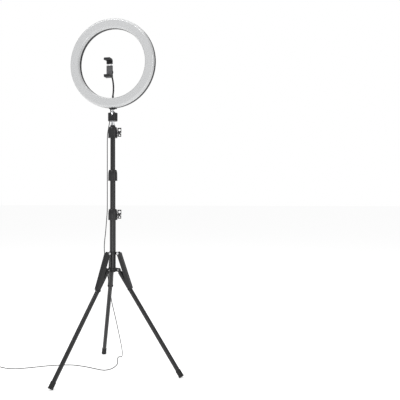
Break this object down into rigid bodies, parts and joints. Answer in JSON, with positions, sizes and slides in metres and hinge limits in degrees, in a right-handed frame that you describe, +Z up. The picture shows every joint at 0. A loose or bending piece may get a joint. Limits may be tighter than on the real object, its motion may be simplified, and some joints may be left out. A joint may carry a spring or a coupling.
{
  "type": "ring light on stand",
  "caption": "Black ring light with an opal white front on a folding tripod stand, with a ball head, a phone clamp on a gooseneck and a cord with an inline controller",
  "frame": {"origin": "on the floor, on the axis of the pole", "axes": "+Z up along the pole; the ring light faces -Y; +X is to the right seen from the front"},
  "size_m": [0.8036, 0.4852, 1.3106],
  "materials": {
    "black_plastic": "fine satin moulding",
    "black_tube": "satin black paint",
    "chrome": "polished",
    "black_rubber": "matt",
    "opal": "translucent white, satin",
    "pad_grey": "matt, ribbed",
    "cord": "satin sleeve",
    "board": "white solder mask",
    "chip": "yellow phosphor",
    "steel": "plated"
  },
  "bodies": {
    "stand": {"lower_tube": "black_tube", "leg_hub": "black_plastic", "hub_pins": "steel", "lower_collar": "black_plastic", "lower_guides": "black_rubber", "cord_lower": "cord", "cord_coil": "cord", "controller_base": "black_plastic", "controller_cover": "black_plastic", "controller_board": "board", "usb_plug_body": "black_plastic", "usb_plug_shell": "steel"},
    "lower_clamp": {"lower_wing": "black_plastic"},
    "bracket": {"brace_bracket": "black_plastic", "bracket_rivets": "steel"},
    "leg_1_body": {"leg_1": "black_tube", "foot_cap_1": "black_rubber"},
    "brace_1_body": {"brace_1": "black_tube"},
    "leg_2_body": {"leg_2": "black_tube", "foot_cap_2": "black_rubber"},
    "brace_2_body": {"brace_2": "black_tube"},
    "leg_3_body": {"leg_3": "black_tube", "foot_cap_3": "black_rubber"},
    "brace_3_body": {"brace_3": "black_tube"},
    "middle_section": {"middle_tube": "black_tube", "middle_collar": "black_plastic", "middle_guides": "black_rubber"},
    "middle_clamp": {"middle_wing": "black_plastic"},
    "upper_section": {"upper_tube": "black_tube", "top_collar": "black_plastic", "upper_guides": "black_rubber"},
    "top_clamp": {"top_wing": "black_plastic"},
    "rod": {"centre_rod": "chrome"},
    "ball_head": {"ball_housing": "black_plastic", "housing_base_ring": "black_plastic", "ball_seat": "opal"},
    "lock_knob": {"ball_knob": "black_plastic"},
    "ball": {"ball_stem": "chrome"},
    "ring": {"rear_casing": "black_plastic", "diffuser": "opal", "led_board": "board", "led_chips": "chip", "ring_fasteners": "steel", "ring_saddle": "black_plastic", "cord_gland": "black_rubber", "gooseneck_socket": "black_plastic", "cord_upper": "cord"},
    "neck_1": {"neck_link_1": "black_rubber"},
    "neck_2": {"neck_link_2": "black_rubber"},
    "neck_3": {"neck_ferrule": "black_rubber"},
    "cup": {"phone_cup": "black_plastic"},
    "nut": {"clamp_nut": "black_plastic"},
    "clamp": {"clamp_body": "black_plastic", "clamp_pad": "pad_grey", "clamp_springs": "steel"},
    "jaw": {"clamp_jaw": "black_plastic", "clamp_rods": "chrome"},
    "power_key": {"power_button": "cord"},
    "brighter_key": {"brighter_button": "cord"},
    "dimmer_key": {"dimmer_button": "cord"}
  },
  "joints": [
    {"name": "lower_clamp_turn", "type": "hinge", "parent": "stand", "child": "lower_clamp", "pos_m": [0, 0, 0.584], "axis": [0.9397, 0.342, 0], "range_deg": [-180, 30]},
    {"name": "bracket_slide", "type": "slide", "parent": "stand", "child": "bracket", "axis": [0, 0, 1], "range_m": [-0.0066, 0], "deforming": ["cord_lower"]},
    {"name": "leg_1_fold", "type": "hinge", "parent": "stand", "child": "leg_1_body", "pos_m": [0.023, 0, 0.382], "axis": [0, -1, 0], "range_deg": [-32, 0]},
    {"name": "brace_1_swing", "type": "hinge", "parent": "leg_1_body", "child": "brace_1_body", "pos_m": [0.06706, 0, 0.31284], "axis": [0, -1, 0], "range_deg": [0, 14]},
    {"name": "leg_2_fold", "type": "hinge", "parent": "stand", "child": "leg_2_body", "pos_m": [-0.0115, 0.01992, 0.382], "axis": [0.866, 0.5, 0], "range_deg": [-32, 0]},
    {"name": "brace_2_swing", "type": "hinge", "parent": "leg_2_body", "child": "brace_2_body", "pos_m": [-0.03353, 0.05807, 0.31284], "axis": [0.866, 0.5, 0], "range_deg": [0, 14]},
    {"name": "leg_3_fold", "type": "hinge", "parent": "stand", "child": "leg_3_body", "pos_m": [-0.0115, -0.01992, 0.382], "axis": [-0.866, 0.5, 0], "range_deg": [-32, 0]},
    {"name": "brace_3_swing", "type": "hinge", "parent": "leg_3_body", "child": "brace_3_body", "pos_m": [-0.03353, -0.05807, 0.31284], "axis": [-0.866, 0.5, 0], "range_deg": [0, 14]},
    {"name": "middle_slide", "type": "slide", "parent": "stand", "child": "middle_section", "axis": [0, 0, 1], "range_m": [-0.1, 0.065], "deforming": ["cord_upper"]},
    {"name": "middle_clamp_turn", "type": "hinge", "parent": "middle_section", "child": "middle_clamp", "pos_m": [0, 0, 0.729], "axis": [-0.5, 0.866, 0], "range_deg": [-180, 30]},
    {"name": "upper_slide", "type": "slide", "parent": "middle_section", "child": "upper_section", "axis": [0, 0, 1], "range_m": [-0.115, 0.075]},
    {"name": "top_clamp_turn", "type": "hinge", "parent": "upper_section", "child": "top_clamp", "pos_m": [0, 0, 0.888], "axis": [0.9397, 0.342, 0], "range_deg": [-180, 30]},
    {"name": "rod_slide", "type": "slide", "parent": "upper_section", "child": "rod", "axis": [0, 0, 1], "range_m": [0, 0.16]},
    {"name": "head_pan", "type": "hinge", "parent": "rod", "child": "ball_head", "pos_m": [0, 0, 0.932], "axis": [0, 0, 1], "range_deg": [-60, 60]},
    {"name": "lock_knob_turn", "type": "hinge", "parent": "ball_head", "child": "lock_knob", "pos_m": [0, 0, 0.955], "axis": [-0.342, 0.9397, 0], "range_deg": [-180, 30]},
    {"name": "ball_tilt", "type": "hinge", "parent": "ball_head", "child": "ball", "pos_m": [0, 0, 0.957], "axis": [0.9848, 0.1736, 0], "range_deg": [-15, 66]},
    {"name": "ring_spin", "type": "hinge", "parent": "ball", "child": "ring", "pos_m": [0, 0, 0.974], "axis": [0, 0, 1], "range_deg": [-90, 90]},
    {"name": "neck_bend_1", "type": "hinge", "parent": "ring", "child": "neck_1", "pos_m": [0, 0.001, 1.027], "axis": [1, 0, 0], "range_deg": [-12, 8]},
    {"name": "neck_bend_2", "type": "hinge", "parent": "neck_1", "child": "neck_2", "pos_m": [0, 0.00659, 1.04941], "axis": [1, 0, 0], "range_deg": [-12, 8]},
    {"name": "neck_bend_3", "type": "hinge", "parent": "neck_2", "child": "neck_3", "pos_m": [0, 0.00384, 1.07349], "axis": [1, 0, 0], "range_deg": [-12, 8]},
    {"name": "phone_tilt", "type": "hinge", "parent": "neck_3", "child": "cup", "pos_m": [0, -0.01872, 1.10762], "axis": [1, 0, 0], "range_deg": [-60, 6]},
    {"name": "phone_turn", "type": "hinge", "parent": "cup", "child": "clamp", "pos_m": [0, -0.01872, 1.10762], "axis": [0, 1, 0], "range_deg": [-180, 180]},
    {"name": "clamp_nut_turn", "type": "hinge", "parent": "cup", "child": "nut", "pos_m": [0, -0.01872, 1.10762], "axis": [0, 1, 0], "range_deg": [-180, 180]},
    {"name": "jaw_slide", "type": "slide", "parent": "clamp", "child": "jaw", "axis": [0, 0, 1], "range_m": [0, 0.022], "stiffness_N_per_m": 300, "springref_m": -0.02, "deforming": ["clamp_springs"]},
    {"name": "power_press", "type": "slide", "parent": "stand", "child": "power_key", "axis": [0, 0, -1], "range_m": [0, 0.0008], "stiffness_N_per_m": 1000, "springref_m": -0.0005},
    {"name": "brighter_press", "type": "slide", "parent": "stand", "child": "brighter_key", "axis": [0, 0, -1], "range_m": [0, 0.0008], "stiffness_N_per_m": 1000, "springref_m": -0.0005},
    {"name": "dimmer_press", "type": "slide", "parent": "stand", "child": "dimmer_key", "axis": [0, 0, -1], "range_m": [0, 0.0008], "stiffness_N_per_m": 1000, "springref_m": -0.0005}
  ],
  "couplings": [
    {"joint": "leg_2_fold", "follows": "leg_1_fold", "ratio": 1},
    {"joint": "leg_3_fold", "follows": "leg_1_fold", "ratio": 1},
    {"joint": "brace_1_swing", "follows": "leg_1_fold", "ratio": -0.425},
    {"joint": "brace_2_swing", "follows": "leg_1_fold", "ratio": -0.425},
    {"joint": "brace_3_swing", "follows": "leg_1_fold", "ratio": -0.425},
    {"joint": "bracket_slide", "follows": "leg_1_fold", "m_per_rad": 0.0104},
    {"joint": "neck_bend_2", "follows": "neck_bend_1", "ratio": 1},
    {"joint": "neck_bend_3", "follows": "neck_bend_1", "ratio": 1}
  ]
}
